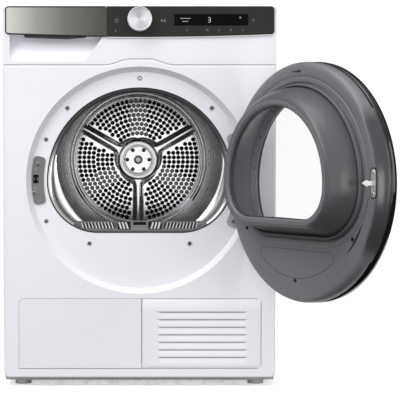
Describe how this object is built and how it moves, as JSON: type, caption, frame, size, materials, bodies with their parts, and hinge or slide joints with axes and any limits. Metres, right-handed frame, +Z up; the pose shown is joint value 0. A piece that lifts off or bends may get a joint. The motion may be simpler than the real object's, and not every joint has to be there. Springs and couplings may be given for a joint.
{
  "type": "clothes dryer",
  "caption": "Free-standing front-loading heat-pump clothes dryer with round swing door, spinning drum, pull-out water tank, lift-out lint filter and drop-down service flap.",
  "frame": {"origin": "on the floor, under the middle of the cabinet", "axes": "+Z up, +X to the right seen from the front, front faces -Y"},
  "size_m": [0.7773, 0.9893, 0.839],
  "materials": {
    "white_enamel": "gloss",
    "white_moulding": "satin",
    "graphite_trim": "gloss",
    "drawer_trim": "brushed look",
    "display_black": "gloss",
    "dial_silver": "radially brushed",
    "liner_grey": "satin",
    "ring_black": "gloss",
    "clear_glass": "clear",
    "seal_rubber": "matte",
    "stainless": "satin",
    "zinc_steel": "bright",
    "latch_grey": "satin",
    "bulkhead_grey": "matte",
    "filter_grey": "satin",
    "mesh_cloth": "fine mesh",
    "felt": "felt",
    "tray_plastic": "matte",
    "galvanised": "galvanised",
    "dark_machine": "satin",
    "motor_steel": "satin",
    "fin_aluminium": "satin",
    "copper": "satin",
    "tank_plastic": "translucent",
    "black_plastic": "matte",
    "belt_rubber": "matte",
    "worktop_white": "satin laminate",
    "foot_rubber": "matte"
  },
  "bodies": {
    "cabinet": {"base_tray": "tray_plastic", "left_side_panel": "white_enamel", "right_side_panel": "white_enamel", "rear_panel": "galvanised", "rear_duct_cover": "galvanised", "worktop": "worktop_white", "front_panel": "white_enamel", "upper_front_panel": "white_moulding", "control_fascia": "graphite_trim", "display_module": "display_black", "front_bulkhead": "bulkhead_grey", "loading_tunnel": "bulkhead_grey", "front_drum_seal": "felt", "rear_bearing": "motor_steel", "latch_plate": "latch_grey", "hinge_plate": "zinc_steel", "front_screws": "zinc_steel", "louvre_panel": "white_moulding", "heat_exchanger_cover": "bulkhead_grey", "condenser": "fin_aluminium", "evaporator": "fin_aluminium", "compressor": "dark_machine", "refrigerant_pipes": "copper", "drive_motor": "motor_steel", "fan_housing": "black_plastic", "condensate_pump": "black_plastic", "tank_shelf": "bulkhead_grey", "drive_belt": "belt_rubber", "tension_spring": "zinc_steel", "cable_gland": "black_plastic", "rear_feet": "foot_rubber"},
    "drum": {"drum_shell": "stainless", "drum_back": "stainless", "drum_lifters": "bulkhead_grey", "drum_hub": "motor_steel", "hub_screws": "zinc_steel"},
    "motor_rotor": {"motor_shaft": "motor_steel", "blower_fan": "black_plastic"},
    "tensioner": {"idler_arm": "zinc_steel"},
    "idler": {"idler_pulley": "black_plastic"},
    "roller_left": {"front_roller_left": "belt_rubber"},
    "roller_right": {"front_roller_right": "belt_rubber"},
    "door": {"door_frame": "liner_grey", "door_outer_ring": "ring_black", "door_outer_window": "clear_glass", "door_inner_window": "clear_glass", "door_gasket": "seal_rubber", "door_hinge_arm": "zinc_steel", "door_hook": "zinc_steel", "door_screws": "zinc_steel"},
    "lint_filter": {"lint_filter_frame": "filter_grey", "lint_filter_mesh": "mesh_cloth"},
    "tank_drawer": {"tank_front": "drawer_trim", "water_tank": "tank_plastic"},
    "flap": {"service_flap": "white_moulding"},
    "dial": {"dial_knob": "dial_silver"},
    "lock_left": {"cover_lock_left": "latch_grey"},
    "lock_right": {"cover_lock_right": "latch_grey"},
    "front_left_foot": {"foot_front_left": "foot_rubber"},
    "front_right_foot": {"foot_front_right": "foot_rubber"}
  },
  "joints": [
    {"name": "door_swing", "type": "hinge", "parent": "cabinet", "child": "door", "pos_m": [0.224, -0.294, 0.4565], "axis": [0, 0, 1], "range_deg": [-121.1, 0]},
    {"name": "drum_spin", "type": "hinge", "parent": "cabinet", "child": "drum", "pos_m": [0, 0, 0.5], "axis": [0, 1, 0], "continuous": true},
    {"name": "motor_spin", "type": "hinge", "parent": "cabinet", "child": "motor_rotor", "pos_m": [0.06, 0, 0.119], "axis": [0, 1, 0], "continuous": true},
    {"name": "tensioner_swing", "type": "hinge", "parent": "cabinet", "child": "tensioner", "pos_m": [0.002, -0.012, 0.152], "axis": [0, 1, 0], "range_deg": [0, 4], "stiffness_Nm_per_rad": 8, "springref_deg": -14.32, "deforming": ["tension_spring"]},
    {"name": "idler_spin", "type": "hinge", "parent": "tensioner", "child": "idler", "pos_m": [-0.0345, -0.024, 0.193], "axis": [0, 1, 0], "continuous": true},
    {"name": "roller_left_spin", "type": "hinge", "parent": "cabinet", "child": "roller_left", "pos_m": [-0.17511, -0.189, 0.24991], "axis": [0, 1, 0], "continuous": true},
    {"name": "roller_right_spin", "type": "hinge", "parent": "cabinet", "child": "roller_right", "pos_m": [0.17511, -0.189, 0.24991], "axis": [0, 1, 0], "continuous": true},
    {"name": "filter_lift", "type": "slide", "parent": "cabinet", "child": "lint_filter", "axis": [0, 0, 1], "range_m": [0, 0.16]},
    {"name": "tank_pull", "type": "slide", "parent": "cabinet", "child": "tank_drawer", "axis": [0, -1, 0], "range_m": [0, 0.42]},
    {"name": "flap_drop", "type": "hinge", "parent": "cabinet", "child": "flap", "pos_m": [0, -0.275, 0.0475], "axis": [1, 0, 0], "range_deg": [0, 90]},
    {"name": "dial_turn", "type": "hinge", "parent": "cabinet", "child": "dial", "pos_m": [0, -0.28, 0.809], "axis": [0, 1, 0], "continuous": true},
    {"name": "lock_left_turn", "type": "hinge", "parent": "cabinet", "child": "lock_left", "pos_m": [-0.226, -0.25, 0.11015], "axis": [0, 1, 0], "range_deg": [0, 90]},
    {"name": "lock_right_turn", "type": "hinge", "parent": "cabinet", "child": "lock_right", "pos_m": [-0.084, -0.25, 0.11015], "axis": [0, 1, 0], "range_deg": [0, 90]},
    {"name": "front_left_foot_screw", "type": "slide", "parent": "cabinet", "child": "front_left_foot", "axis": [0, 0, -1], "range_m": [0, 0.015]},
    {"name": "front_right_foot_screw", "type": "slide", "parent": "cabinet", "child": "front_right_foot", "axis": [0, 0, -1], "range_m": [0, 0.015]}
  ],
  "couplings": [
    {"joint": "motor_spin", "follows": "drum_spin", "ratio": 26.972},
    {"joint": "idler_spin", "follows": "drum_spin", "ratio": 13.204},
    {"joint": "roller_left_spin", "follows": "drum_spin", "ratio": -12.864},
    {"joint": "roller_right_spin", "follows": "drum_spin", "ratio": -12.864}
  ]
}
